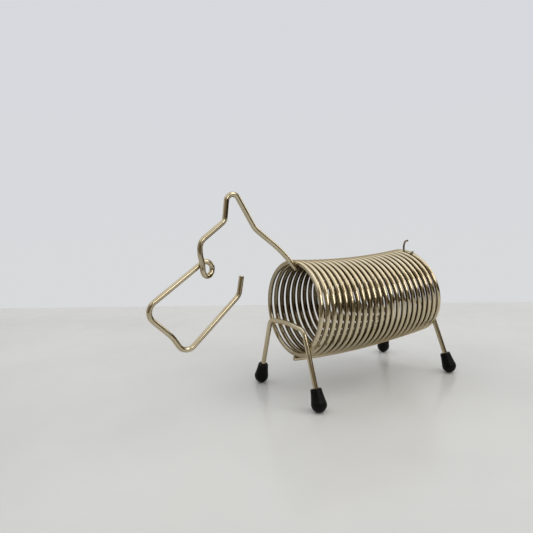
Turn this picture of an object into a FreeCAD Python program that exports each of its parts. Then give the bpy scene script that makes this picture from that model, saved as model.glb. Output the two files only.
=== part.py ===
"""Wire dog desk holder: a coil body, a bent-wire head, legs and tail, and four rubber foot tips.

Row frame in millimetres: +X towards the head, +Y to the dog's left, +Z up.
The origin is on the table, below the middle of the whole figure.
"""
import FreeCAD
import Part
import math
import os

Vector = FreeCAD.Vector
SIDE = Vector(0, 1, 0)

DIMENSIONS = [
    ("wire_diameter", 3.25, "all the structural wire"),
    ("tail_wire_diameter", 1.4, "tail clip"),
    ("tail_weld_depth", 0.15, "how far the clip sinks into the last turn"),
    ("weld_depth", 0.25, "how far two welded wires sink into each other"),
    ("origin_shift", 10.484, "from the first turn to the middle of the figure"),
    ("coil_radius", 31.5, "centre line of the turns"),
    ("coil_pitch", 5.2, "from turn to turn"),
    ("coil_turns", 22, "counted on the left side"),
    ("coil_start_x", 2.95, "first turn, ahead of the head weld"),
    ("coil_front_height", 59.75, "axis above the table"),
    ("coil_rear_height", 59.75, "axis above the table"),
    ("coil_sag", 2.85, "sway of the back at its middle"),
    ("coil_front_lean", 0.059, "radians that the first turn leans back"),
    ("coil_rear_lean", 0.195, "radians that the last turn leans forward"),
    ("coil_first_angle", 38.0, "degrees from the bottom to the front end"),
    ("coil_last_angle", 290.0, "degrees from the bottom to the rear end"),
    ("rod_front_x", 1.2, "front tip of the belly rod"),
    ("rod_rear_x", -113.6, "rear tip of the belly rod"),
    ("bow_half_width", 19.5, "leg bow, at its shoulders"),
    ("bow_height", 49.3, "leg bow, shoulders above the table"),
    ("bow_rise", 1.7, "middle of the arch above the shoulders"),
    ("bow_shoulder_radius", 6.0, "bend of the shoulders"),
    ("bow_arch_radius", 90.0, "gentle bend of the arch"),
    ("front_bow_x", 6.77, "front bow at its shoulders"),
    ("front_foot_x", 6.9, "front feet"),
    ("rear_bow_x", -112.25, "rear bow at its shoulders"),
    ("rear_foot_x", -117.6, "rear feet"),
    ("foot_half_track", 34.0, "feet, left and right of the middle"),
    ("tip_radius", 5.1, "round bottom of a rubber tip"),
    ("tip_length", 15.0, "rubber tip, over all"),
    ("tip_taper", 8.95, "degrees, side of the rubber tip"),
    ("tip_flat", 0.15, "worn off the round bottom"),
    ("bore_clearance", 0.03, "radial, tip bore round the wire"),
    ("bore_depth", 12.0, "blind bore of a rubber tip"),
    ("wire_end_gap", 0.1, "wire end to the bottom of the bore"),
    ("head_offset", 1.75, "head strokes to the left and right of the middle"),
    ("eye_radius", 4.3, "eye loop centre line"),
    ("eye_x", 63.4, "centre of the eye loop"),
    ("eye_height", 92.5, "centre of the eye loop"),
    ("tail_side", 4.8, "tail, to the left of the middle"),
    ("tail_spacing", 6.2, "from the tail to the short end of its clip"),
]

doc = FreeCAD.newDocument("wire_dog")
sheet = doc.addObject("Spreadsheet::Sheet", "Sizes")
for row, (alias, number, note) in enumerate(DIMENSIONS, start=1):
    sheet.set(f"A{row}", alias)
    sheet.set(f"B{row}", str(number))
    sheet.set(f"C{row}", note)
    sheet.setAlias(f"B{row}", alias)
doc.recompute()


def size(alias):
    """The number in the sheet's cell with this alias."""
    return float(sheet.get(alias))


def row_point(x, y, z):
    """A point given from the first turn, moved to the row's origin."""
    return Vector(x + size("origin_shift"), y, z)


# ---- wires ------------------------------------------------------------------

def rounded_path(corners, radii):
    """Straight runs through the corners, joined by tangent arcs of the given radii."""
    edges = []
    start = corners[0]
    for before, corner, after, radius in zip(corners, corners[1:], corners[2:], radii):
        arrive = (corner - before).normalize()
        leave = (after - corner).normalize()
        turn = arrive.getAngle(leave)
        reach = radius * math.tan(turn / 2)
        arc_start = corner - arrive * reach
        arc_end = corner + leave * reach
        inward = (leave - arrive).normalize()
        middle = corner + inward * (radius / math.cos(turn / 2) - radius)
        if (arc_start - start).Length > 1e-6:
            edges.append(Part.LineSegment(start, arc_start).toShape())
        edges.append(Part.Arc(arc_start, middle, arc_end).toShape())
        start = arc_end
    edges.append(Part.LineSegment(start, corners[-1]).toShape())
    return edges


def swept_wire(label, edges, diameter_alias="wire_diameter"):
    """A round wire: a circle from the sheet swept along the edges."""
    path = doc.addObject("Part::Feature", label + "_path")
    path.Shape = Part.Wire(edges)
    first = edges[0]
    section = doc.addObject("Part::Circle", label + "_section")
    section.setExpression("Radius", f"Sizes.{diameter_alias} / 2")
    along = first.tangentAt(first.FirstParameter)
    section.Placement = FreeCAD.Placement(first.valueAt(first.FirstParameter),
                                          FreeCAD.Rotation(Vector(0, 0, 1), along))
    wire = doc.addObject("Part::Sweep", label)
    wire.Label = label
    wire.Sections = [section]
    wire.Spine = (path, [f"Edge{number + 1}" for number in range(len(edges))])
    wire.Solid = True
    wire.Frenet = False
    length = sum(edge.Length for edge in edges)
    swept_lengths[label] = (length, diameter_alias)
    return wire


swept_lengths = {}


# ---- coil body --------------------------------------------------------------

def coil_station(turns_along, side):
    """Bottom (side -1) or top (side +1) of the coil after this many turns."""
    length = size("coil_pitch") * size("coil_turns")
    travelled = size("coil_pitch") * turns_along
    share = travelled / length
    axis_height = (size("coil_front_height") * (1 - share) + size("coil_rear_height") * share
                   - 4 * size("coil_sag") * share * (1 - share))
    lean = size("coil_front_lean") * (1 - share) - size("coil_rear_lean") * share
    radius = size("coil_radius")
    return row_point(size("coil_start_x") - travelled - side * radius * math.sin(lean), 0,
                     axis_height + side * radius * math.cos(lean))


def half_turn(start, end, towards, from_angle=0.0, to_angle=180.0):
    """Arc from start to end bulging sideways, or the part of it between two angles."""
    centre = (start + end) * 0.5
    outwards = start - centre
    sideways = towards * outwards.Length

    def point(angle):
        return centre + outwards * math.cos(angle) + sideways * math.sin(angle)

    first = math.radians(from_angle)
    last = math.radians(to_angle)
    return Part.Arc(point(first), point((first + last) / 2), point(last)).toShape()


def coil_edges():
    """Up the left side and down the right side, a little further back each turn."""
    edges = []
    turns = int(size("coil_turns"))
    for turn in range(turns):
        bottom = coil_station(turn, -1)
        top = coil_station(turn + 0.5, +1)
        next_bottom = coil_station(turn + 1, -1)
        from_angle = size("coil_first_angle") if turn == 0 else 0.0
        to_angle = size("coil_last_angle") - 180.0 if turn == turns - 1 else 180.0
        edges.append(half_turn(bottom, top, SIDE, from_angle=from_angle))
        edges.append(half_turn(top, next_bottom, -SIDE, to_angle=to_angle))
    return edges


body_coil = swept_wire("body_coil", coil_edges())


# ---- belly rod --------------------------------------------------------------

def rod_edges():
    """One shallow arc that touches the bottoms of the turns from below."""
    drop = Vector(0, 0, size("wire_diameter") - size("weld_depth"))
    turns = size("coil_turns")
    front = coil_station(1, -1) - drop
    middle = coil_station(turns / 2, -1) - drop
    rear = coil_station(turns - 1, -1) - drop
    touching = Part.Circle(front, middle, rear)
    front_end = touching.value(touching.parameter(row_point(size("rod_front_x"), 0, front.z)))
    rear_end = touching.value(touching.parameter(row_point(size("rod_rear_x"), 0, rear.z)))
    return [Part.Arc(front_end, middle, rear_end).toShape()]


belly_rod = swept_wire("belly_rod", rod_edges())


# ---- leg bows and rubber tips -----------------------------------------------

def foot_centre(foot_x, side):
    """Centre of the round bottom of one rubber tip."""
    return row_point(foot_x, side * size("foot_half_track"), size("tip_radius") - size("tip_flat"))


def shoulder(bow_x, side):
    """Corner of a leg bow, before it is rounded."""
    return row_point(bow_x, side * size("bow_half_width"), size("bow_height"))


def leg_direction(bow_x, foot_x, side):
    """Unit vector up the leg, from its foot to its shoulder."""
    return (shoulder(bow_x, side) - foot_centre(foot_x, side)).normalize()


def leg_end(bow_x, foot_x, side):
    """Wire end, just above the bottom of the blind bore."""
    above_centre = (size("tip_length") - size("tip_radius") - size("bore_depth")
                    + size("wire_end_gap"))
    return foot_centre(foot_x, side) + leg_direction(bow_x, foot_x, side) * above_centre


def bow_edges(bow_x, foot_x):
    """Up one leg, over a low arch and down the other leg."""
    arch_top = row_point(bow_x, 0, size("bow_height") + size("bow_rise"))
    corners = [leg_end(bow_x, foot_x, +1), shoulder(bow_x, +1), arch_top,
               shoulder(bow_x, -1), leg_end(bow_x, foot_x, -1)]
    bend = size("bow_shoulder_radius")
    return rounded_path(corners, [bend, size("bow_arch_radius"), bend])


def rubber_tip(label, bow_x, foot_x, side):
    """Tapered tip with a round bottom, a blind bore for the wire and a small worn flat."""
    upright = FreeCAD.Placement(foot_centre(foot_x, side),
                                FreeCAD.Rotation(Vector(0, 0, 1), leg_direction(bow_x, foot_x, side)))
    ball = doc.addObject("Part::Sphere", label + "_ball")
    ball.setExpression("Radius", "Sizes.tip_radius")
    cone = doc.addObject("Part::Cone", label + "_cone")
    cone.setExpression("Radius1", "Sizes.tip_radius * cos(Sizes.tip_taper * 1deg)")
    cone.setExpression("Radius2", "(Sizes.tip_radius - (Sizes.tip_length - Sizes.tip_radius)"
                                  " * sin(Sizes.tip_taper * 1deg)) / cos(Sizes.tip_taper * 1deg)")
    cone.setExpression("Height", "Sizes.tip_length - Sizes.tip_radius"
                                 " - Sizes.tip_radius * sin(Sizes.tip_taper * 1deg)")
    cone.setExpression("Placement.Base.z", "Sizes.tip_radius * sin(Sizes.tip_taper * 1deg)")
    outside = doc.addObject("Part::Fuse", label + "_outside")
    outside.Base = ball
    outside.Tool = cone
    bore = doc.addObject("Part::Cylinder", label + "_bore")
    bore.setExpression("Radius", "Sizes.wire_diameter / 2 + Sizes.bore_clearance")
    bore.setExpression("Height", "Sizes.bore_depth * 2")
    bore.setExpression("Placement.Base.z", "Sizes.tip_length - Sizes.tip_radius - Sizes.bore_depth")
    hollow = doc.addObject("Part::Cut", label + "_hollow")
    hollow.Base = outside
    hollow.Tool = bore
    hollow.Placement = upright
    table = doc.addObject("Part::Box", label + "_table")
    for edge in ("Length", "Width", "Height"):
        table.setExpression(edge, "Sizes.tip_radius * 4")
    reach = size("tip_radius") * 2
    table.Placement.Base = foot_centre(foot_x, side) - Vector(reach, reach, 0)
    table.Placement.Base.z = -2 * reach
    tip = doc.addObject("Part::Cut", label)
    tip.Label = label
    tip.Base = hollow
    tip.Tool = table
    return tip


front_bow_x = size("front_bow_x")
front_foot_x = size("front_foot_x")
rear_bow_x = size("rear_bow_x")
rear_foot_x = size("rear_foot_x")

front_leg_bow = swept_wire("front_leg_bow", bow_edges(front_bow_x, front_foot_x))
rear_leg_bow = swept_wire("rear_leg_bow", bow_edges(rear_bow_x, rear_foot_x))
tips = [
    rubber_tip("front_left_foot", front_bow_x, front_foot_x, +1),
    rubber_tip("front_right_foot", front_bow_x, front_foot_x, -1),
    rubber_tip("rear_left_foot", rear_bow_x, rear_foot_x, +1),
    rubber_tip("rear_right_foot", rear_bow_x, rear_foot_x, -1),
]


# ---- head wire --------------------------------------------------------------

# Corners of the head in the middle plane, as distance ahead and height above the table, and the
# bend radius at each. The upper stroke runs from the neck weld up over the ear and down to the eye.
UPPER_HEAD = [
    ((-1.3, 86.4), 0),
    ((10.8, 99.9), 80),
    ((29.9, 114.9), 14),
    ((47.5, 145.2), 4.3),
    ((51.0, 120.8), 5),
    ((68.2, 109.0), 4),
    ((68.2, 101.5), 18),
    ((66.955, 95.5), 18),
]
# The lower stroke runs from the eye along the muzzle, round the nose and back along the jaw.
LOWER_HEAD = [
    ((104.2, 71.4), 7),
    ((86.9, 54.1), 20),
    ((79.2, 41.7), 6.3),
    ((41.1, 73.7), 4),
    ((38.7, 85.7), 0),
]
MUZZLE_SLOPE = math.radians(-32.6)


def head_edges():
    """Upper stroke on the left, a full eye loop that steps across, lower stroke on the right."""
    offset = size("head_offset")
    radius = size("eye_radius")
    left = [row_point(x, offset, z) for (x, z), _ in UPPER_HEAD]
    right = [row_point(x, -offset, z) for (x, z), _ in LOWER_HEAD]
    # The front and bottom of the loop lie in an upright plane, turned to step across both offsets.
    rear_x = size("eye_x") - radius
    swing = math.asin(offset / radius)
    loop_front = row_point(rear_x + 2 * radius * math.cos(swing), offset, size("eye_height"))
    loop_rear = row_point(rear_x, -offset, size("eye_height"))
    loop_bottom = (loop_front + loop_rear) * 0.5 - Vector(0, 0, radius)
    # The top of the loop lies in the right stroke's plane, up to where it points along the muzzle.
    centre = loop_rear + Vector(radius, 0, 0)
    leave = math.pi / 2 + MUZZLE_SLOPE
    middle = (math.pi + leave) / 2

    def loop_point(angle):
        return centre + Vector(radius * math.cos(angle), 0, radius * math.sin(angle))

    loop_top = Part.Arc(loop_rear, loop_point(middle), loop_point(leave)).toShape()
    upper = rounded_path(left + [loop_front], [bend for _, bend in UPPER_HEAD[1:]])
    lower = rounded_path([loop_point(leave)] + right, [bend for _, bend in LOWER_HEAD[:-1]])
    loop = Part.Arc(loop_front, loop_bottom, loop_rear).toShape()
    return upper + [loop, loop_top] + lower


head_wire = swept_wire("head_wire", head_edges())


# ---- tail clip --------------------------------------------------------------

def tail_edges():
    """Curled tail, down in front of the last turn and up again as a short hooked end."""
    touching = (size("wire_diameter") + size("tail_wire_diameter")) / 2 - size("tail_weld_depth")
    clip = coil_station(size("coil_turns") - 0.5, +1) + Vector(touching, 0, 0)
    tail = clip + Vector(0, size("tail_side"), 0)
    hook = tail + Vector(-0.2, size("tail_spacing"), 0)
    corners = [
        tail + Vector(-3.9, 0, 8.5),
        tail + Vector(-1.0, 0, 8.3),
        tail + Vector(0.6, 0, 4.6),
        tail - Vector(0, 0, 1.9),
        hook - Vector(0, 0, 3.6),
        hook + Vector(-0.2, 0, -0.3),
        hook + Vector(-2.7, 0, 0.45),
    ]
    return rounded_path(corners, [2.4, 5.0, 1.0, 1.0, 0.9])


tail_wire = swept_wire("tail_wire", tail_edges(), "tail_wire_diameter")


# ---- check and write --------------------------------------------------------

doc.recompute()
for item in doc.Objects:
    if "Invalid" in item.State or "Error" in item.State:
        raise RuntimeError(f"{item.Label}: {item.State}")

sub_parts = [body_coil, belly_rod, front_leg_bow, rear_leg_bow, head_wire, tail_wire] + tips
os.makedirs("parts", exist_ok=True)
for item in sub_parts:
    shape = item.Shape
    if shape.isNull() or not shape.isValid() or len(shape.Solids) != 1:
        raise RuntimeError(f"{item.Label}: bad shape")
    if item.Label in swept_lengths:
        length, diameter_alias = swept_lengths[item.Label]
        expected = length * math.pi * (size(diameter_alias) / 2) ** 2
        if abs(shape.Volume / expected - 1) > 0.01:
            raise RuntimeError(f"{item.Label}: volume {shape.Volume:.1f}, expected {expected:.1f}")
    shape.exportStep(f"parts/{item.Label}.step")
    box = shape.BoundBox
    print(f"{item.Label:17s} X {box.XMin:8.2f} {box.XMax:8.2f}  Y {box.YMin:7.2f} {box.YMax:7.2f}"
          f"  Z {box.ZMin:7.2f} {box.ZMax:7.2f}  volume {shape.Volume:9.1f}")
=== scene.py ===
"""Looks of the wire dog desk holder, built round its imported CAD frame.

Everything is in metres and in the row frame: +X to the head, +Y to the dog's left, +Z up.
Each wire is remade as a smooth tube along the CAD wire's centre line, with drawn-wire detail
that follows its length. The rubber tips are remade with their moulded rims and parting lines.
"""

import math

import bpy
import numpy as np
from mathutils import Matrix, Vector, noise


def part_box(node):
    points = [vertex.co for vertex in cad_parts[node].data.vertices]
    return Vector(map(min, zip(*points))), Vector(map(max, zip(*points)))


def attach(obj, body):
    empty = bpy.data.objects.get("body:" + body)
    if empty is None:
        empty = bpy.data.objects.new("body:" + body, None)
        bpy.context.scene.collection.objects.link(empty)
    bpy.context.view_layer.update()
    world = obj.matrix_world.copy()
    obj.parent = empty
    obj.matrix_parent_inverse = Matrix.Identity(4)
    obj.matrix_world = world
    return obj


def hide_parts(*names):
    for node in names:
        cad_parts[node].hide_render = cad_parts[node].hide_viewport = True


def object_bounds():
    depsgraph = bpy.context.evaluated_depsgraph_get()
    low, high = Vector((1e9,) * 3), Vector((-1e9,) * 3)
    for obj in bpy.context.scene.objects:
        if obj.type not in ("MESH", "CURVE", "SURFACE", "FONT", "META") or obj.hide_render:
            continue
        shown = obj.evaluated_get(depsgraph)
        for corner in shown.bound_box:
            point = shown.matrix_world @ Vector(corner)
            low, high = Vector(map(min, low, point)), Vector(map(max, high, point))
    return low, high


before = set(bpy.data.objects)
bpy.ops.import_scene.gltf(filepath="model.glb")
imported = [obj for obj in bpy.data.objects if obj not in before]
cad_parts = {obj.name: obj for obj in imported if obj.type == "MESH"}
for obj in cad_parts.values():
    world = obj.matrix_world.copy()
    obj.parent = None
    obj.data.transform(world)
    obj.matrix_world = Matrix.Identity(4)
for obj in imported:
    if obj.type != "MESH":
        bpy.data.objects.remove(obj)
cad_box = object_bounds()

MM = 0.001
ROOT = "wire_dog"
WIRE_RADIUS = 1.625 * MM
TAIL_RADIUS = 0.7 * MM
SHIFT = 10.484 * MM
UP = Vector((0, 0, 1))
LEFT = Vector((0, 1, 0))


# ---- camera -----------------------------------------------------------------

CAMERA_PLACE = Vector((0.205043, 0.274941, 0.130613))
CAMERA_LOOK = Vector((-0.52956, -0.83922, -0.12355))
CAMERA_ROLL = -0.031
LENS = 34.27
SENSOR = 36.0


def add_camera():
    data = bpy.data.cameras.new("camera")
    data.lens = LENS
    data.sensor_width = SENSOR
    data.clip_start = 0.01
    data.clip_end = 20
    camera = bpy.data.objects.new("camera", data)
    bpy.context.scene.collection.objects.link(camera)
    look = CAMERA_LOOK.normalized()
    right = look.cross(UP).normalized()
    up = right.cross(look)
    tilted_right = right * math.cos(CAMERA_ROLL) + up * math.sin(CAMERA_ROLL)
    tilted_up = up * math.cos(CAMERA_ROLL) - right * math.sin(CAMERA_ROLL)
    turn = Matrix((tilted_right, tilted_up, -look)).transposed()
    camera.matrix_world = Matrix.Translation(CAMERA_PLACE) @ turn.to_4x4()
    bpy.context.scene.camera = camera


add_camera()


# ---- shader helpers ---------------------------------------------------------

class Nodes:
    """A small writer for one node tree."""

    def __init__(self, tree):
        self.tree = tree
        tree.nodes.clear()

    def add(self, kind, inputs=None, **settings):
        node = self.tree.nodes.new(kind)
        for key, value in settings.items():
            setattr(node, key, value)
        for key, value in (inputs or {}).items():
            self.put(node.inputs[key], value)
        return node

    def put(self, socket, value):
        if isinstance(value, bpy.types.NodeSocket):
            self.tree.links.new(value, socket)
        elif isinstance(value, bpy.types.Node):
            self.tree.links.new(value.outputs[0], socket)
        else:
            socket.default_value = value

    def math(self, operation, *values, clamp=False):
        return self.add("ShaderNodeMath", dict(enumerate(values)), operation=operation,
                        use_clamp=clamp)

    def scaled(self, vector, scale):
        return self.add("ShaderNodeMapping", {"Vector": vector, "Scale": scale})

    def noise(self, vector, scale, detail=4.0, roughness=0.55):
        return self.add("ShaderNodeTexNoise", {"Vector": vector, "Scale": scale, "Detail": detail,
                                               "Roughness": roughness})

    def ramp(self, value, low, high, to_low=0.0, to_high=1.0):
        return self.add("ShaderNodeMapRange", {"Value": value, "From Min": low, "From Max": high,
                                               "To Min": to_low, "To Max": to_high},
                        interpolation_type="SMOOTHSTEP")

    def mix(self, share, a, b):
        node = self.add("ShaderNodeMix", data_type="RGBA")
        self.put(node.inputs["Factor"], share)
        for socket, colour in zip(node.inputs[6:8], (a, b)):
            self.put(socket, (*colour, 1.0) if isinstance(colour, tuple) else colour)
        return node.outputs[2]

    def bump(self, height, distance, strength=1.0, normal=None):
        node = self.add("ShaderNodeBump", {"Height": height, "Distance": distance,
                                           "Strength": strength})
        if normal is not None:
            self.put(node.inputs["Normal"], normal)
        return node

    def surface(self, colour, rough, relief=None, constants=None):
        inputs = {"Base Color": colour, "Roughness": rough, **(constants or {})}
        if relief is not None:
            inputs["Normal"] = relief.outputs["Normal"]
        shader = self.add("ShaderNodeBsdfPrincipled", inputs)
        self.add("ShaderNodeOutputMaterial", {"Surface": shader})


def new_material(name):
    material = bpy.data.materials.new(name)
    material.use_nodes = True
    return material, Nodes(material.node_tree)


# ---- gold-plated wire -------------------------------------------------------

# Clusters of tarnish pits on the left side of the coil: centre and reach along each axis.
TARNISH = [
    (Vector((-15.5, 31.0, 66.0)) * MM, Vector((4.2, 26.0, 24.0)) * MM),
    (Vector((-34.0, 31.0, 52.0)) * MM, Vector((5.0, 22.0, 16.0)) * MM),
    (Vector((-39.5, 29.0, 76.0)) * MM, Vector((3.6, 16.0, 8.0)) * MM),
]


def gold_material():
    """Champagne-gold plating over drawn wire: draw lines, soft toning, pits, rubbed spots and
    painted shade inside the coil.
    """
    material, n = new_material("gold_wire_plating")
    place = n.add("ShaderNodeTexCoord").outputs["Object"]
    along = n.add("ShaderNodeUVMap", uv_map="wire").outputs["UV"]

    tone = n.noise(place, 34.0, 5.0, 0.6)
    tone = n.ramp(tone, 0.3, 0.72)
    colour = n.mix(tone, (0.635, 0.570, 0.425), (0.545, 0.470, 0.325))
    # Cooler, thinner plating where hands have rubbed it.
    rubbed = n.ramp(n.noise(place, 95.0, 3.0, 0.5), 0.56, 0.74)
    colour = n.mix(n.math("MULTIPLY", rubbed, 0.3), colour, (0.70, 0.655, 0.53))

    # Draw lines: noise stretched along the wire's length.
    lines = n.noise(n.scaled(along, (0.02, 5.0, 1.0)), 2.2, 3.0, 0.7)
    fine_lines = n.noise(n.scaled(along, (0.09, 19.0, 1.0)), 2.0, 2.0, 0.6)
    line_shade = n.ramp(fine_lines, 0.35, 0.7)
    colour = n.mix(n.math("MULTIPLY", line_shade, 0.16), colour, (0.43, 0.35, 0.20))

    # Brown toning in long soft patches.
    patches = n.noise(n.scaled(along, (0.05, 0.35, 1.0)), 1.3, 4.0, 0.62)
    patches = n.ramp(patches, 0.55, 0.78)
    colour = n.mix(n.math("MULTIPLY", patches, 0.42), colour, (0.42, 0.31, 0.155))

    # Painted shade: near-black on the surfaces that face into the coil and between its turns, where
    # shade falls; on the other wires an even, duller plating.
    painted_shade_and_thin = n.add("ShaderNodeAttribute", attribute_name="painted_shade_and_thin_plating").outputs["Fac"]
    painted_shade_and_thin = n.math("MULTIPLY", painted_shade_and_thin, n.ramp(n.noise(place, 70.0, 4.0, 0.6), 0.2, 0.8, 0.72, 1.0))
    colour = n.mix(n.math("MULTIPLY", painted_shade_and_thin, 0.98), colour, (0.034, 0.022, 0.009))

    # Tarnish pits: everywhere a few, in the clusters many.
    nearness = None
    for centre, reach in TARNISH:
        offset = n.add("ShaderNodeVectorMath", {0: place, 1: centre}, operation="SUBTRACT")
        spread = n.add("ShaderNodeVectorMath", {0: offset, 1: reach}, operation="DIVIDE")
        length = n.add("ShaderNodeVectorMath", {0: spread}, operation="LENGTH").outputs["Value"]
        close = n.ramp(length, 1.15, 0.35)
        nearness = close if nearness is None else n.math("MAXIMUM", nearness, close)
    pits = n.noise(place, 760.0, 3.0, 0.6)
    pits = n.math("SUBTRACT", pits, n.math("MULTIPLY_ADD", nearness, -0.15, 0.715))
    pits = n.ramp(pits, 0.0, 0.035)
    colour = n.mix(n.math("MULTIPLY", pits, 0.9), colour, (0.085, 0.055, 0.028))
    bloom = n.ramp(n.noise(place, 260.0, 4.0, 0.65), 0.5, 0.72)
    bloom = n.math("MULTIPLY", bloom, n.math("MULTIPLY_ADD", nearness, 0.6, 0.08))
    colour = n.mix(bloom, colour, (0.33, 0.245, 0.135))

    # Polish: brightest on clean plating, duller on toning and pits.
    haze = n.ramp(n.noise(place, 150.0, 5.0, 0.65), 0.3, 0.75, 0.05, 0.13)
    rough = n.math("ADD", haze, n.math("MULTIPLY", line_shade, 0.03))
    rough = n.math("ADD", rough, n.math("MULTIPLY", patches, 0.10))
    rough = n.math("ADD", rough, n.math("MULTIPLY", pits, 0.40), clamp=True)

    waves = n.noise(n.scaled(along, (0.22, 0.30, 1.0)), 1.0, 2.0, 0.5)
    relief = n.bump(waves, 0.02 * MM, 0.5)
    relief = n.bump(lines, 0.0015 * MM, 0.5, relief)
    relief = n.bump(fine_lines, 0.0004 * MM, 0.5, relief)
    relief = n.bump(pits, 0.03 * MM, 0.5, relief)
    relief.invert = True

    # Plating turns browner towards the edges of the wire.
    n.surface(colour, rough, relief, {"Metallic": 1.0, "Specular Tint": (0.78, 0.62, 0.40, 1.0)})
    return material


def cut_end_material():
    """Sheared wire end: a film of plating over a torn, duller face with shear marks."""
    material, n = new_material("gold_wire_cut_end")
    place = n.add("ShaderNodeTexCoord").outputs["Object"]
    grain = n.noise(n.scaled(place, (900.0, 5200.0, 900.0)), 1.0, 4.0, 0.65)
    blotch = n.noise(place, 900.0, 3.0, 0.6)
    colour = n.mix(n.ramp(grain, 0.35, 0.7), (0.50, 0.43, 0.30), (0.26, 0.205, 0.125))
    colour = n.mix(n.ramp(blotch, 0.5, 0.75), colour, (0.36, 0.335, 0.30))
    rough = n.ramp(grain, 0.3, 0.75, 0.28, 0.5)
    relief = n.bump(grain, 0.04 * MM, 0.8)
    n.surface(colour, rough, relief, {"Metallic": 1.0})
    return material


def braze_material():
    """Plated-over weld metal: the wire's gold, duller and grainier."""
    material, n = new_material("gold_wire_weld")
    place = n.add("ShaderNodeTexCoord").outputs["Object"]
    lumps = n.noise(place, 900.0, 4.0, 0.6)
    stain = n.noise(place, 240.0, 3.0, 0.6)
    colour = n.mix(n.ramp(stain, 0.35, 0.68), (0.60, 0.50, 0.315), (0.30, 0.215, 0.115))
    rough = n.ramp(lumps, 0.3, 0.75, 0.24, 0.46)
    relief = n.bump(lumps, 0.08 * MM, 0.7)
    n.surface(colour, rough, relief, {"Metallic": 1.0})
    return material


def rubber_material():
    """Black moulded rubber: fine skin, dust on what faces up, scuffs near the floor."""
    material, n = new_material("black_rubber_moulded")
    place = n.add("ShaderNodeTexCoord").outputs["Object"]
    facing = n.add("ShaderNodeSeparateXYZ",
                   {0: n.add("ShaderNodeNewGeometry").outputs["Normal"]}).outputs["Z"]
    height = n.add("ShaderNodeSeparateXYZ", {0: place}).outputs["Z"]

    bloom = n.noise(place, 160.0, 5.0, 0.6)
    colour = n.mix(n.ramp(bloom, 0.35, 0.7), (0.0022, 0.0023, 0.0024), (0.0055, 0.0056, 0.0058))
    dust = n.ramp(n.noise(place, 1300.0, 3.0, 0.7), 0.56, 0.74)
    dust = n.math("MULTIPLY", dust, n.ramp(facing, 0.05, 0.95, 0.05, 0.5))
    colour = n.mix(n.math("MULTIPLY", dust, 0.45), colour, (0.13, 0.127, 0.12))
    scuffs = n.noise(n.scaled(place, (1.0, 1.0, 5.0)), 420.0, 4.0, 0.7)
    scuffs = n.math("MULTIPLY", n.ramp(scuffs, 0.52, 0.7), n.ramp(height, 4.2 * MM, 0.6 * MM))
    colour = n.mix(n.math("MULTIPLY", scuffs, 0.5), colour, (0.045, 0.044, 0.042))

    skin = n.noise(place, 2600.0, 3.0, 0.6)
    orange_peel = n.noise(place, 520.0, 2.0, 0.5)
    rough = n.ramp(bloom, 0.3, 0.75, 0.34, 0.46)
    rough = n.math("ADD", rough, n.math("MULTIPLY", dust, 0.5))
    rough = n.math("ADD", rough, n.math("MULTIPLY", scuffs, 0.2), clamp=True)
    relief = n.bump(skin, 0.02 * MM, 0.6)
    relief = n.bump(orange_peel, 0.05 * MM, 0.5, relief)
    n.surface(colour, rough, relief, {"IOR": 1.45, "Specular IOR Level": 0.12})
    return material


GOLD = gold_material()
CUT_END = cut_end_material()
BRAZE = braze_material()
RUBBER = rubber_material()


# ---- centre lines ---------------------------------------------------------------

# Lengths below are in millimetres and are the CAD's own, apart from SOFT_BEND.
ARC_STEP = math.radians(4)


def arc_points(centre, start, towards, angle):
    """Points of an arc that leaves start in the direction towards, without its first point."""
    spoke = start - centre
    sideways = towards.normalized() * spoke.length
    steps = max(3, math.ceil(abs(angle) / ARC_STEP))
    turns = [angle * step / steps for step in range(1, steps + 1)]
    return [centre + spoke * math.cos(turn) + sideways * math.sin(turn) for turn in turns]


def run_points(start, end, longest=3 * MM):
    """Points of a straight run, without its first point."""
    steps = max(1, math.ceil((end - start).length / longest))
    return [start.lerp(end, step / steps) for step in range(1, steps + 1)]


def rounded_line(corners, bends):
    """Straight runs through the corners, joined by tangent arcs."""
    line = [corners[0]]
    for before, corner, after, bend in zip(corners, corners[1:], corners[2:], bends):
        arrive = (corner - before).normalized()
        leave = (after - corner).normalized()
        turn = arrive.angle(leave)
        arc_start = corner - arrive * bend * math.tan(turn / 2)
        centre = corner + (leave - arrive).normalized() * bend / math.cos(turn / 2)
        if (arc_start - line[-1]).length > 1e-3 * MM:
            line += run_points(line[-1], arc_start)
        line += arc_points(centre, arc_start, arrive, turn)
    return line + run_points(line[-1], corners[-1])


def row_point(x, y, z):
    """A point in millimetres from the first turn, in the row frame."""
    return Vector((x * MM + SHIFT, y * MM, z * MM))


COIL_RADIUS = 31.5
COIL_PITCH = 5.2
COIL_TURNS = 22
COIL_START = 2.95
COIL_HEIGHT = 59.75
COIL_SAG = 2.85
COIL_LEANS = (0.059, -0.195)
COIL_FIRST = math.radians(38)
COIL_LAST = math.radians(290 - 180)


def coil_station(turns_along, side):
    """Bottom (side -1) or top (side +1) of the coil after this many turns."""
    share = turns_along / COIL_TURNS
    height = COIL_HEIGHT - 4 * COIL_SAG * share * (1 - share)
    lean = COIL_LEANS[0] * (1 - share) + COIL_LEANS[1] * share
    return row_point(COIL_START - COIL_PITCH * turns_along - side * COIL_RADIUS * math.sin(lean),
                     0, height + side * COIL_RADIUS * math.cos(lean))


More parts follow.
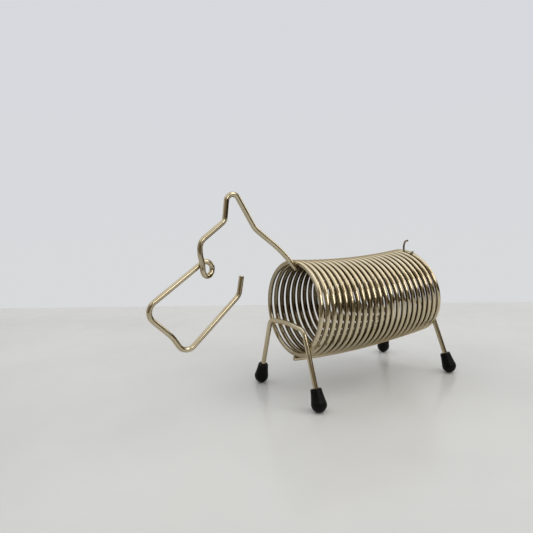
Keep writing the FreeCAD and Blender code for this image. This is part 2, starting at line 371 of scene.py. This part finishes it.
def coil_line():
    """Up the left side and down the right side, a little further back each turn."""
    line = []
    for half in range(2 * COIL_TURNS):
        side = 1 if half % 2 else -1
        start = coil_station(half / 2, side)
        end = coil_station((half + 1) / 2, -side)
        centre = (start + end) / 2
        spoke = start - centre
        sideways = LEFT * (-side * spoke.length)
        first = COIL_FIRST if half == 0 else 0.0
        last = COIL_LAST if half == 2 * COIL_TURNS - 1 else math.pi
        if not line:
            line.append(centre + spoke * math.cos(first) + sideways * math.sin(first))
        steps = math.ceil((last - first) / ARC_STEP)
        for step in range(1, steps + 1):
            angle = first + (last - first) * step / steps
            line.append(centre + spoke * math.cos(angle) + sideways * math.sin(angle))
    return line


def through(first, middle, last):
    """Centre of the circle through three points."""
    a, b = first - last, middle - last
    normal = a.cross(b)
    return last + (a.length_squared * b - b.length_squared * a).cross(normal) \
        / (2 * normal.length_squared)


ROD_ENDS = (1.2, -113.6)
ROD_STEPS = 60
WELD_SINK = 0.25


def rod_line():
    """One shallow arc that touches the bottoms of the turns from below."""
    drop = UP * (2 * WIRE_RADIUS - WELD_SINK * MM)
    stations = [coil_station(turn, -1) - drop for turn in (1, COIL_TURNS / 2, COIL_TURNS - 1)]
    centre = through(*stations)
    radius = (stations[0] - centre).length
    ends = []
    for x, station in zip(ROD_ENDS, (stations[0], stations[2])):
        spoke = row_point(x, 0, station.z / MM) - centre
        ends.append(spoke.normalized() * radius)
    angle = ends[0].angle(ends[1])
    across = (ends[1] - ends[1].project(ends[0])).normalized() * radius
    return [centre + ends[0] * math.cos(angle * step / ROD_STEPS)
            + across * math.sin(angle * step / ROD_STEPS) for step in range(ROD_STEPS + 1)]


FOOT_TRACK = 34.0
TIP_RADIUS = 5.1
TIP_LENGTH = 15.0
TIP_FLAT = 0.15
BORE_DEPTH = 12.0
BOW_WIDTH = 19.5
BOW_HEIGHT = 49.3
BOW_RISE = 1.7
SHOULDER_BEND = 6
ARCH_BEND = 90
WIRE_TO_BORE_END = 0.1
# Each pair of legs as (x of its bow, x of its feet).
FRONT = (6.77, 6.9)
REAR = (-112.25, -117.6)


def foot_centre(foot_x, side):
    return row_point(foot_x, side * FOOT_TRACK, TIP_RADIUS - TIP_FLAT)


def leg_direction(ends, side):
    """Unit vector up the leg, from its foot to its shoulder."""
    bow_x, foot_x = ends
    shoulder = row_point(bow_x, side * BOW_WIDTH, BOW_HEIGHT)
    return (shoulder - foot_centre(foot_x, side)).normalized()


def bow_line(ends):
    """Up one leg, over a low arch and down the other leg."""
    bow_x, foot_x = ends
    above = (TIP_LENGTH - TIP_RADIUS - BORE_DEPTH + WIRE_TO_BORE_END) * MM
    wire_ends = [foot_centre(foot_x, side) + leg_direction(ends, side) * above for side in (1, -1)]
    corners = [wire_ends[0], row_point(bow_x, BOW_WIDTH, BOW_HEIGHT),
               row_point(bow_x, 0, BOW_HEIGHT + BOW_RISE),
               row_point(bow_x, -BOW_WIDTH, BOW_HEIGHT), wire_ends[1]]
    return rounded_line(corners, [SHOULDER_BEND * MM, ARCH_BEND * MM, SHOULDER_BEND * MM])


# The brow and the jaw's last bend are 4 in the CAD; the real wire is rounder there.
SOFT_BEND = 7.5
# Corners of the head's two strokes as ((x, z), bend radius).
UPPER_HEAD = [
    ((-1.3, 86.4), 0),
    ((10.8, 99.9), 80),
    ((29.9, 114.9), 14),
    ((47.5, 145.2), 4.3),
    ((51.0, 120.8), 5),
    ((68.2, 109.0), SOFT_BEND),
    ((68.2, 101.5), 18),
    ((66.955, 95.5), 18),
]
LOWER_HEAD = [
    ((104.2, 71.4), 7),
    ((86.9, 54.1), 20),
    ((79.2, 41.7), 6.3),
    ((41.1, 73.7), SOFT_BEND),
    ((38.7, 85.7), 0),
]
MUZZLE_SLOPE = math.radians(-32.6)
HEAD_OFFSET = 1.75
EYE_RADIUS = 4.3
EYE_X = 63.4
EYE_HEIGHT = 92.5


def head_line():
    """Upper stroke on the left, a full eye loop that steps across, lower stroke on the right."""
    rear_x = EYE_X - EYE_RADIUS
    swing = math.asin(HEAD_OFFSET / EYE_RADIUS)
    front = row_point(rear_x + 2 * EYE_RADIUS * math.cos(swing), HEAD_OFFSET, EYE_HEIGHT)
    rear = row_point(rear_x, -HEAD_OFFSET, EYE_HEIGHT)
    upper = [row_point(x, HEAD_OFFSET, z) for (x, z), _ in UPPER_HEAD] + [front]
    line = rounded_line(upper, [bend * MM for _, bend in UPPER_HEAD[1:]])
    line += arc_points((front + rear) / 2, front, -UP, math.pi)
    centre = rear + Vector((EYE_RADIUS * MM, 0, 0))
    line += arc_points(centre, rear, UP, math.pi / 2 - MUZZLE_SLOPE)
    lower = [line[-1]] + [row_point(x, -HEAD_OFFSET, z) for (x, z), _ in LOWER_HEAD]
    return line + rounded_line(lower, [bend * MM for _, bend in LOWER_HEAD[:-1]])[1:]


TAIL_SIDE = 4.8
TAIL_SPACING = 6.2
TAIL_SINK = 0.15
TAIL_BENDS = (2.4, 5.0, 1.0, 1.0, 0.9)


def tail_line():
    """Curled tail, down in front of the last turn and up again as a short hooked end."""
    touching = WIRE_RADIUS + TAIL_RADIUS - TAIL_SINK * MM
    clip = coil_station(COIL_TURNS - 0.5, 1) + Vector((touching, 0, 0))
    tail = clip / MM + Vector((0, TAIL_SIDE, 0))
    hook = tail + Vector((-0.2, TAIL_SPACING, 0))
    corners = [
        tail + Vector((-3.9, 0, 8.5)),
        tail + Vector((-1.0, 0, 8.3)),
        tail + Vector((0.6, 0, 4.6)),
        tail - Vector((0, 0, 1.9)),
        hook - Vector((0, 0, 3.6)),
        hook + Vector((-0.2, 0, -0.3)),
        hook + Vector((-2.7, 0, 0.45)),
    ]
    return rounded_line([corner * MM for corner in corners], [bend * MM for bend in TAIL_BENDS])


# ---- tubes ------------------------------------------------------------------

def new_mesh_object(name, verts, faces, materials):
    mesh = bpy.data.meshes.new(name)
    mesh.from_pydata([tuple(v) for v in verts], [], faces)
    for material in materials:
        mesh.materials.append(material)
    mesh.update()
    piece = bpy.data.objects.new(name, mesh)
    bpy.context.scene.collection.objects.link(piece)
    return piece


SIDES = 28
END_STEPS = 4
# Shares of the wire's radius: the broken edge of a sheared end, its inner ring and its hollow.
END_BEVEL = 0.3
CUT_RING = 0.6
CUT_RING_DEPTH = 0.03
CUT_MIDDLE_DEPTH = 0.05
# Darkening value, for painted shade and duller plating, given to the points of the sheared faces.
CUT_SHADE_AND_THINNESS = 0.4


def between(place, along, rows):
    """Rows of numbers given at the distances along, read off at a place between them."""
    return np.array([np.interp(place, along, rows[:, axis]) for axis in range(3)])


def tube(name, line, radius, node, painted_shade_and_thin_plating=None):
    """A round wire along the line, with softly broken edges at its sheared ends.

    The last argument gives how far painted shade and duller plating darken the wire, from 0 to 1,
    for a place on the line and a way out.
    """
    points = np.array([tuple(point) for point in line])
    steps = np.linalg.norm(np.diff(points, axis=0), axis=1)
    along = np.concatenate([[0], np.cumsum(steps)])
    tangents = np.gradient(points, along, axis=0)
    tangents /= np.linalg.norm(tangents, axis=1)[:, None]
    bevel = radius * END_BEVEL

    # Rings as (place on the line, inset of the radius): two rounded ends and the run between.
    quarter = [math.pi / 2 * step / END_STEPS for step in range(END_STEPS + 1)]
    start = sorted({(round(bevel - bevel * math.sin(a), 9), round(bevel - bevel * math.cos(a), 9))
                    for a in quarter})
    total = along[-1]
    inner = [(place, 0.0) for place in along if bevel * 1.6 < place < total - bevel * 1.6]
    end = [(total - place, inset) for place, inset in reversed(start)]
    rings = start + inner + end

    # Carry one direction along the wire without twist.
    sideways = np.cross(tangents[0], (0.3, 0.2, 0.9))
    sideways /= np.linalg.norm(sideways)
    carried = []
    for tangent in tangents:
        sideways = sideways - tangent * (sideways @ tangent)
        sideways = sideways / np.linalg.norm(sideways)
        carried.append(sideways)
    carried = np.array(carried)

    angles = np.linspace(0, 2 * math.pi, SIDES, endpoint=False)
    verts = []
    shade_and_thinness = []
    for place, inset in rings:
        centre = between(place, along, points)
        tangent = between(place, along, tangents)
        tangent /= np.linalg.norm(tangent)
        first = between(place, along, carried)
        first = first - tangent * (first @ tangent)
        first /= np.linalg.norm(first)
        second = np.cross(tangent, first)
        reach = radius - inset
        outs = [math.cos(a) * first + math.sin(a) * second for a in angles]
        verts += [centre + reach * out for out in outs]
        shade_and_thinness += [painted_shade_and_thin_plating(centre, out) if painted_shade_and_thin_plating else 0.0 for out in outs]

    faces = []
    uvs = []
    girth = 2 * math.pi * radius / MM
    for ring in range(len(rings) - 1):
        low, high = rings[ring][0] / MM, rings[ring + 1][0] / MM
        for side in range(SIDES):
            after = (side + 1) % SIDES
            a, b = ring * SIDES + side, ring * SIDES + after
            faces.append((a, b, b + SIDES, a + SIDES))
            v0, v1 = girth * side / SIDES, girth * (side + 1) / SIDES
            uvs += [(low, v0), (low, v1), (high, v1), (high, v0)]
    wall_faces = len(faces)

    # Sheared faces, a little hollow as shears leave them.
    for ring, outward in ((0, -1), (len(rings) - 1, 1)):
        rim = ring * SIDES
        place = 0.0 if outward < 0 else total
        centre = points[0] if outward < 0 else points[-1]
        tangent = tangents[0] if outward < 0 else tangents[-1]
        inner_ring = len(verts)
        for side in range(SIDES):
            spoke = np.array(verts[rim + side]) - centre
            verts.append(centre + spoke * CUT_RING
                         - tangent * outward * radius * CUT_RING_DEPTH)
        middle = len(verts)
        verts.append(centre - tangent * outward * radius * CUT_MIDDLE_DEPTH)
        for side in range(SIDES):
            after = (side + 1) % SIDES
            quad = (rim + side, rim + after, inner_ring + after, inner_ring + side)
            tri = (inner_ring + side, inner_ring + after, middle)
            if outward < 0:
                quad, tri = quad[::-1], tri[::-1]
            faces += [quad, tri]
            uvs += [(place / MM, 0.2 * corner) for corner in range(7)]

    piece = new_mesh_object(name, verts, faces, [GOLD, CUT_END])
    mesh = piece.data
    layer = mesh.uv_layers.new(name="wire")
    layer.data.foreach_set("uv", np.array(uvs, np.float32).ravel())
    shade_and_thinness += [CUT_SHADE_AND_THINNESS] * (len(verts) - len(shade_and_thinness))
    mesh.attributes.new("painted_shade_and_thin_plating", "FLOAT", "POINT").data.foreach_set("value", shade_and_thinness)
    mesh.polygons.foreach_set("use_smooth", [True] * len(faces))
    cut = [0] * wall_faces + [1] * (len(faces) - wall_faces)
    mesh.polygons.foreach_set("material_index", cut)
    mesh.update()
    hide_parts(node)
    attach(piece, ROOT)
    check_place(piece, node)


PLACE_TOLERANCE = 0.3 * MM


def check_place(piece, node):
    """Stops if a piece's box isn't where its CAD node's box is."""
    low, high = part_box(node)
    corners = np.array([piece.matrix_world @ Vector(corner) for corner in piece.bound_box])
    off = max(np.abs(corners.min(0) - np.array(low)).max(),
              np.abs(corners.max(0) - np.array(high)).max())
    print(f"{piece.name}: {off / MM:.3f} mm from {node}")
    if off > PLACE_TOLERANCE:
        raise RuntimeError(f"{piece.name} is {off / MM:.2f} mm from {node}")


LINES = {
    "coil": coil_line(),
    "rod": rod_line(),
    "front_bow": bow_line(FRONT),
    "rear_bow": bow_line(REAR),
    "head": head_line(),
    "tail": tail_line(),
}


def smooth_step(low, high, value):
    share = min(1.0, max(0.0, (value - low) / (high - low)))
    return share * share * (3 - 2 * share)


def coil_painted_shade(centre, out):
    """Painted shade for the coil: none on the outside of a turn, dark on its flanks and inside
    where the turns shade each other, less so near the ends.
    """
    share = (COIL_START - (centre[0] - SHIFT) / MM) / (COIL_PITCH * COIL_TURNS)
    axis_height = (COIL_HEIGHT - 4 * COIL_SAG * share * (1 - share)) * MM
    radial = np.array((0.0, centre[1], centre[2] - axis_height))
    deep = COIL_TURNS * min(share, 1 - share)
    inward = -float(out @ radial) / np.linalg.norm(radial)
    return smooth_step(-0.88, -0.12, inward) * (0.4 + 0.6 * smooth_step(0.3, 3.0, deep))


def rod_painted_shade(_, out):
    """Painted shade where the rod faces the turns above it."""
    return smooth_step(0.1, 0.8, float(out[2]))


def even(shade_and_thinness):
    """The same darkening of the plating all over a wire."""
    return lambda *_: shade_and_thinness


# The last argument darkens each wire: painted shade on the coil and rod where they face into the
# coil, an even duller plating on the others.
tube("coil_spring_wire", LINES["coil"], WIRE_RADIUS, "body_coil", coil_painted_shade)
tube("belly_rod_wire", LINES["rod"], WIRE_RADIUS, "belly_rod", rod_painted_shade)
tube("front_legs_wire", LINES["front_bow"], WIRE_RADIUS, "front_leg_bow", even(0.1))
tube("rear_legs_wire", LINES["rear_bow"], WIRE_RADIUS, "rear_leg_bow", even(0.1))
tube("head_outline_wire", LINES["head"], WIRE_RADIUS, "head_wire", even(0.16))
tube("tail_clip_wire", LINES["tail"], TAIL_RADIUS, "tail_wire", even(0.9))


# ---- welds --------------------------------------------------------------------

def contacts(line_a, line_b, reach):
    """Places where two wires touch: the middle and the way from a to b."""
    a = np.array([tuple(p) for p in line_a])
    b = np.array([tuple(p) for p in line_b])
    found = []
    for index, point in enumerate(b):
        gaps = np.linalg.norm(a - point, axis=1)
        found.append((gaps.min(), gaps.argmin(), index))
    places = []
    for position, (gap, nearest, index) in enumerate(found):
        around = found[max(0, position - 6):position + 7]
        if gap < reach and gap == min(entry[0] for entry in around):
            middle = (a[nearest] + b[index]) / 2
            across = (b[index] - a[nearest]) / np.linalg.norm(b[index] - a[nearest])
            if all(np.linalg.norm(middle - other[0]) > 1.5 * MM for other in places):
                places.append((middle, across))
    return places


BEAD_LUMP_SCALE = 1.3
BEAD_LUMP_SIZE = 0.16


def weld_beads(name, line_a, line_b, reach, width=1.5, thickness=0.5):
    """Small lens-shaped lumps of weld metal where two wires cross, with sizes in millimetres."""
    columns, rows = 20, 9
    verts, faces = [], []
    places = contacts(line_a, line_b, reach)
    if not places:
        raise RuntimeError(f"{name}: the wires don't touch")
    for middle, across in places:
        across = Vector(across)
        first = across.orthogonal().normalized()
        second = across.cross(first)
        base = len(verts)
        for row in range(rows):
            tilt = math.pi * (row + 0.5) / rows - math.pi / 2
            for column in range(columns):
                angle = 2 * math.pi * column / columns
                spoke = first * math.cos(angle) + second * math.sin(angle)
                point = spoke * math.cos(tilt) * width + across * math.sin(tilt) * thickness
                lump = noise.noise(Vector(middle) / MM + point * BEAD_LUMP_SCALE)
                verts.append(Vector(middle) + point * (1 + BEAD_LUMP_SIZE * lump) * MM)
        for row in range(rows - 1):
            for column in range(columns):
                after = (column + 1) % columns
                low, high = base + row * columns, base + (row + 1) * columns
                faces.append((low + column, low + after, high + after, high + column))
        faces.append(tuple(base + column for column in reversed(range(columns))))
        faces.append(tuple(base + (rows - 1) * columns + column for column in range(columns)))
    piece = new_mesh_object(name, verts, faces, [BRAZE])
    piece.data.polygons.foreach_set("use_smooth", [True] * len(faces))
    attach(piece, ROOT)


TOUCHING = 2 * WIRE_RADIUS + 0.25 * MM
TAIL_TOUCHING = WIRE_RADIUS + TAIL_RADIUS + 0.15 * MM
weld_beads("rod_weld_beads", LINES["rod"], LINES["coil"], TOUCHING, 1.25, 0.42)
weld_beads("neck_weld_beads", LINES["coil"], LINES["head"], TOUCHING)
weld_beads("front_leg_weld_beads", LINES["coil"], LINES["front_bow"], TOUCHING)
weld_beads("rear_leg_weld_beads", LINES["coil"], LINES["rear_bow"], TOUCHING)
weld_beads("tail_weld_beads", LINES["coil"], LINES["tail"], TAIL_TOUCHING, 0.9, 0.35)


# ---- rubber tips ----------------------------------------------------------------

TIP_TAPER = math.radians(8.95)
BORE_RADIUS = 1.655
COLUMNS = 96
SEAM_RISE = 0.045
RIM_BEND = 0.45
MOUTH_BEND = 0.3
TOP_DISH = 0.06
WAIST = 0.14
WOBBLE = 0.035
# Row of the profile where the outer skin starts.
SKIN_ROW = 14


def tip_profile():
    """Half section of a tip as (radius, height above the ball's centre), from bore to bottom."""
    top = TIP_LENGTH - TIP_RADIUS
    rim_radius = (TIP_RADIUS - top * math.sin(TIP_TAPER)) / math.cos(TIP_TAPER)
    profile = [(0.0, top - BORE_DEPTH), (0.7, top - BORE_DEPTH), (BORE_RADIUS, top - BORE_DEPTH)]
    profile += [(BORE_RADIUS, top - BORE_DEPTH * share) for share in (0.75, 0.5, 0.25, 0.1)]
    for step in range(5):
        angle = math.pi / 2 * step / 4
        profile.append((BORE_RADIUS + MOUTH_BEND * (1 - math.cos(angle)),
                        top - MOUTH_BEND * (1 - math.sin(angle))))
    # The top face dishes a little between the mouth and the rim.
    for share in (0.3, 0.6):
        inner = BORE_RADIUS + MOUTH_BEND
        radius = inner + share * (rim_radius - RIM_BEND - BORE_RADIUS - MOUTH_BEND)
        profile.append((radius, top - TOP_DISH))
    for step in range(7):
        angle = (math.pi / 2 - TIP_TAPER) * step / 6
        profile.append((rim_radius - RIM_BEND * (1 - math.sin(angle)) + 0.02,
                        top - RIM_BEND * (1 - math.cos(angle))))
    start = (rim_radius + RIM_BEND * math.sin(TIP_TAPER), top - RIM_BEND)
    join = (TIP_RADIUS * math.cos(TIP_TAPER), TIP_RADIUS * math.sin(TIP_TAPER))
    for step in range(1, 14):
        share = step / 13
        radius = start[0] + (join[0] - start[0]) * share
        height = start[1] + (join[1] - start[1]) * share
        # Soft rubber necks in slightly between its rim and its round bottom.
        profile.append((radius - WAIST * math.sin(math.pi * share), height))
    for step in range(1, 22):
        angle = TIP_TAPER - (math.pi / 2 + TIP_TAPER) * step / 21
        profile.append((TIP_RADIUS * math.cos(angle), TIP_RADIUS * math.sin(angle)))
    profile[-1] = (0.0, -TIP_RADIUS)
    return profile


def rubber_tip(name, ends, side, node, body):
    """One moulded tip with a parting line down its two sides and a worn flat below."""
    centre = foot_centre(ends[1], side)
    axis = leg_direction(ends, side)
    forward = Vector((1, 0, 0))
    forward = (forward - axis * forward.dot(axis)).normalized()
    sideways = axis.cross(forward)
    profile = tip_profile()
    verts, faces = [], []
    for row, (radius, height) in enumerate(profile):
        if radius == 0.0:
            verts.append(centre + axis * height * MM)
            continue
        for column in range(COLUMNS):
            angle = 2 * math.pi * column / COLUMNS
            spoke = forward * math.cos(angle) + sideways * math.sin(angle)
            # The nominal surface is the crest of the parting line, the skin lies just inside it.
            seam = column % (COLUMNS // 2) == COLUMNS // 8
            inset = 0.0 if seam or row < SKIN_ROW else SEAM_RISE
            wobble = 0.0
            if row >= SKIN_ROW:
                point = (centre / MM) + spoke * radius + axis * height
                wobble = WOBBLE * (noise.noise(point * 0.35) - 0.5)
            reach = radius - inset + min(wobble, 0.0)
            verts.append(centre + (spoke * reach + axis * height) * MM)
    for vert in verts:
        vert.z = max(vert.z, 0.0)
    first_ring = 1
    for column in range(COLUMNS):
        after = (column + 1) % COLUMNS
        faces.append((0, first_ring + after, first_ring + column))
    rings = len(profile) - 2
    for ring in range(rings - 1):
        low = first_ring + ring * COLUMNS
        for column in range(COLUMNS):
            after = (column + 1) % COLUMNS
            faces.append((low + column, low + after, low + COLUMNS + after, low + COLUMNS + column))
    last = first_ring + (rings - 1) * COLUMNS
    bottom = len(verts) - 1
    for column in range(COLUMNS):
        after = (column + 1) % COLUMNS
        faces.append((last + column, last + after, bottom))
    piece = new_mesh_object(name, verts, faces, [RUBBER])
    piece.data.flip_normals()
    piece.data.polygons.foreach_set("use_smooth", [True] * len(faces))
    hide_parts(node)
    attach(piece, body)
    check_place(piece, node)


for corner, ends, side in (("front_left", FRONT, 1), ("front_right", FRONT, -1),
                           ("rear_left", REAR, 1), ("rear_right", REAR, -1)):
    rubber_tip(f"{corner}_rubber_tip", ends, side, f"{corner}_foot", f"{corner}_tip")


# ---- floor, wall light and windows ------------------------------------------------

def floor_material():
    """Polished pale stone, kept plain: only its tone drifts a little."""
    material, n = new_material("pale_floor")
    place = n.add("ShaderNodeTexCoord").outputs["Object"]
    drift = n.noise(place, 7.0, 4.0, 0.5)
    colour = n.mix(n.ramp(drift, 0.3, 0.75), (0.655, 0.665, 0.668), (0.595, 0.605, 0.61))
    rough = n.ramp(n.noise(place, 60.0, 3.0, 0.5), 0.3, 0.7, 0.17, 0.24)
    n.surface(colour, rough, constants={"IOR": 1.48})
    return material


FLOOR_TURN = math.radians(-5.2)
FLOOR_BEHIND = 0.30
FLOOR_AHEAD = 0.62
FLOOR_HALF = 1.4


def add_floor():
    """The table top: nearly square to the view, with its far edge behind the dog."""
    look = Vector((CAMERA_LOOK.x, CAMERA_LOOK.y, 0)).normalized()
    look.rotate(Matrix.Rotation(FLOOR_TURN, 3, "Z"))
    side = look.cross(UP)
    corners = [side * a + look * b for a, b in
               ((-FLOOR_HALF, -FLOOR_AHEAD), (FLOOR_HALF, -FLOOR_AHEAD),
                (FLOOR_HALF, FLOOR_BEHIND), (-FLOOR_HALF, FLOOR_BEHIND))]
    floor = new_mesh_object("floor", corners, [(0, 1, 2, 3)], [floor_material()])
    if floor.data.polygons[0].normal.z < 0:
        floor.data.flip_normals()


add_floor()


def add_window(name, direction, distance, width, height, power, colour):
    """A soft rectangular light that faces the dog."""
    data = bpy.data.lights.new(name, "AREA")
    data.shape = "RECTANGLE"
    data.size = width
    data.size_y = height
    data.energy = power
    data.color = colour
    light = bpy.data.objects.new(name, data)
    bpy.context.scene.collection.objects.link(light)
    middle = (cad_box[0] + cad_box[1]) / 2
    direction = Vector(direction).normalized()
    light.location = middle + direction * distance
    light.rotation_mode = "QUATERNION"
    light.rotation_quaternion = direction.to_track_quat("Z", "Y")


add_window("window_right", (-0.98, 0.02, 0.32), 1.1, 0.42, 0.40, 1.5, (1.0, 0.985, 0.95))
add_window("window_front", (0.10, 0.90, 0.44), 1.2, 0.46, 0.42, 1.9, (1.0, 0.99, 0.97))
add_window("ceiling", (0.25, -0.1, 1.0), 1.6, 2.6, 2.4, 12.6, (0.97, 0.985, 1.0))


DIM_CORNER = Vector((-0.75, 0.66, 0.0))


def add_world():
    """A pale wall to the camera; to the metal, a room with a bright strip and a dim corner."""
    world = bpy.data.worlds.new("room")
    bpy.context.scene.world = world
    world.use_nodes = True
    n = Nodes(world.node_tree)
    way = n.add("ShaderNodeTexCoord").outputs["Generated"]
    parts = n.add("ShaderNodeSeparateXYZ", {0: way})
    rise = parts.outputs["Z"]
    to_left = parts.outputs["Y"]
    wall = n.mix(n.ramp(rise, -0.15, 0.30), (0.690, 0.698, 0.712), (0.672, 0.688, 0.727))
    far = n.mix(n.ramp(rise, -0.05, 0.65), (0.20, 0.165, 0.115), (0.33, 0.28, 0.21))
    far = n.mix(n.ramp(rise, 0.6, 0.95), far, (0.44, 0.42, 0.38))
    to_head = parts.outputs["X"]
    band = n.math("MULTIPLY", n.ramp(to_head, -0.72, -0.55), n.ramp(to_head, -0.18, -0.35))
    band = n.math("MULTIPLY", band, n.ramp(rise, 0.12, 0.34))
    far = n.mix(band, far, (2.4, 2.36, 2.26))
    corner = n.add("ShaderNodeVectorMath", {0: way, 1: DIM_CORNER.normalized()},
                   operation="DOT_PRODUCT").outputs["Value"]
    dim = n.math("MULTIPLY", n.ramp(corner, 0.35, 0.8), n.ramp(rise, 0.36, 0.12))
    far = n.mix(dim, far, (0.045, 0.032, 0.018))
    behind = n.ramp(to_left, 0.10, -0.30)
    lit_wall = n.mix(n.ramp(rise, -0.10, 0.10), (0.30, 0.29, 0.27), (0.62, 0.62, 0.62))
    room = n.mix(behind, far, lit_wall)
    seen = n.add("ShaderNodeLightPath").outputs["Is Camera Ray"]
    colour = n.mix(seen, room, wall)
    background = n.add("ShaderNodeBackground", {"Color": colour, "Strength": 1.0})
    n.add("ShaderNodeOutputWorld", {"Surface": background})


add_world()
bpy.context.scene.view_settings.view_transform = "Standard"
bpy.context.scene.view_settings.look = "None"
